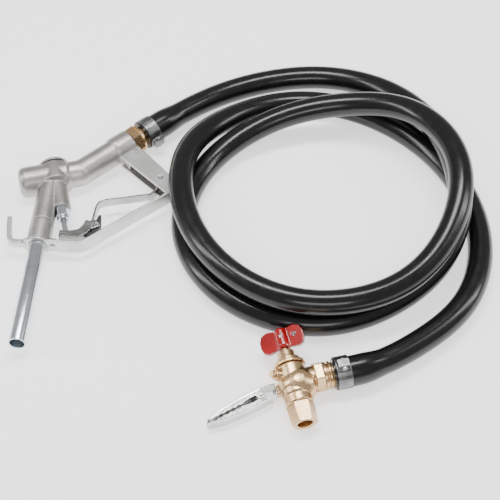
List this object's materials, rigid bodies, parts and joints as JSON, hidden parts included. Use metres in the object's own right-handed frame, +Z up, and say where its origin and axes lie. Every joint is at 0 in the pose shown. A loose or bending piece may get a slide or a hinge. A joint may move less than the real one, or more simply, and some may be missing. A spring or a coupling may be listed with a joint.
{
  "type": "fuel nozzle",
  "caption": "Hand fuel nozzle with plated spout and strip guard, on a looped hose with an angle ball valve, butterfly handle and earthing clip.",
  "frame": {"origin": "middle of the underside of the nozzle's bounding box, as it lies on its side on the floor", "axes": "spout towards -Y, nozzle length along Y, +Z up from the floor; the hose and the valve lie towards +X"},
  "size_m": [0.7022, 0.6622, 0.1121],
  "materials": {
    "cast_aluminium": "as-cast, shot-blasted",
    "guard_casting": "as-cast",
    "plated_steel": "bright zinc plate",
    "polished_steel": "polished",
    "screw_steel": "satin",
    "clamp_steel": "satin",
    "brass": "machined and cast",
    "chrome": "polished",
    "clip_plating": "bright plate",
    "red_enamel": "gloss enamel",
    "black_finish": "black",
    "hose_rubber": "gloss",
    "seal_rubber": "matt",
    "ptfe": "white"
  },
  "bodies": {
    "nozzle": {"ball_seat_inlet": "ptfe", "ball_seat_outlet": "ptfe", "bonnet": "brass", "cap_gasket": "seal_rubber", "chamber_cap": "cast_aluminium", "clip_fixed_jaw": "clip_plating", "clip_pin": "screw_steel", "clip_screw": "screw_steel", "clip_spring": "black_finish", "gland_nut": "plated_steel", "guard": "guard_casting", "guard_front_screw": "screw_steel", "guard_rear_screw": "screw_steel", "hose": "hose_rubber", "inlet_gasket": "seal_rubber", "main_spring": "screw_steel", "nozzle_body": "cast_aluminium", "nozzle_clamp": "clamp_steel", "nozzle_clamp_screw": "screw_steel", "nozzle_hose_tail": "brass", "outlet_nipple": "brass", "side_plug": "brass", "spindle_packing": "ptfe", "spout": "plated_steel", "spout_collar": "cast_aluminium", "spout_seal": "seal_rubber", "stem_packing": "ptfe", "trigger_pin": "screw_steel", "valve_body": "brass", "valve_clamp": "clamp_steel", "valve_clamp_screw": "screw_steel", "valve_hose_tail": "brass"},
    "trigger": {"trigger": "polished_steel", "latch_pin": "screw_steel", "latch_spring": "screw_steel"},
    "latch": {"hold_open_latch": "black_finish"},
    "stem": {"valve_stem": "screw_steel", "poppet": "brass", "poppet_seal": "seal_rubber"},
    "handle": {"butterfly_handle": "red_enamel", "spindle": "brass", "valve_ball": "chrome", "handle_screw": "screw_steel"},
    "clip_jaw": {"clip_moving_jaw": "clip_plating"}
  },
  "joints": [
    {"name": "trigger_hinge", "type": "hinge", "parent": "nozzle", "child": "trigger", "pos_m": [0.09475, 0.08833, 0.024], "axis": [0, 0, 1], "range_deg": [-5, 0], "stiffness_Nm_per_rad": 3, "springref_deg": 5.73},
    {"name": "stem_slide", "type": "slide", "parent": "nozzle", "child": "stem", "axis": [-0.2924, 0.9563, 0], "range_m": [0, 0.0118], "deforming": ["main_spring"]},
    {"name": "latch_hinge", "type": "hinge", "parent": "trigger", "child": "latch", "pos_m": [0.01275, -0.00257, 0.024], "axis": [0, 0, 1], "range_deg": [0, 9], "stiffness_Nm_per_rad": 0.02, "springref_deg": -11.46},
    {"name": "handle_hinge", "type": "hinge", "parent": "nozzle", "child": "handle", "pos_m": [0.3083, -0.247, 0.023], "axis": [-0.2908, 0.9511, 0.1045], "range_deg": [0, 90]},
    {"name": "clip_hinge", "type": "hinge", "parent": "nozzle", "child": "clip_jaw", "pos_m": [0.2663, -0.2671, 0.01], "axis": [0, 0, 1], "range_deg": [0, 25], "stiffness_Nm_per_rad": 0.3, "springref_deg": -20.05}
  ],
  "couplings": [
    {"joint": "stem_slide", "follows": "trigger_hinge", "m_per_rad": -0.135}
  ]
}
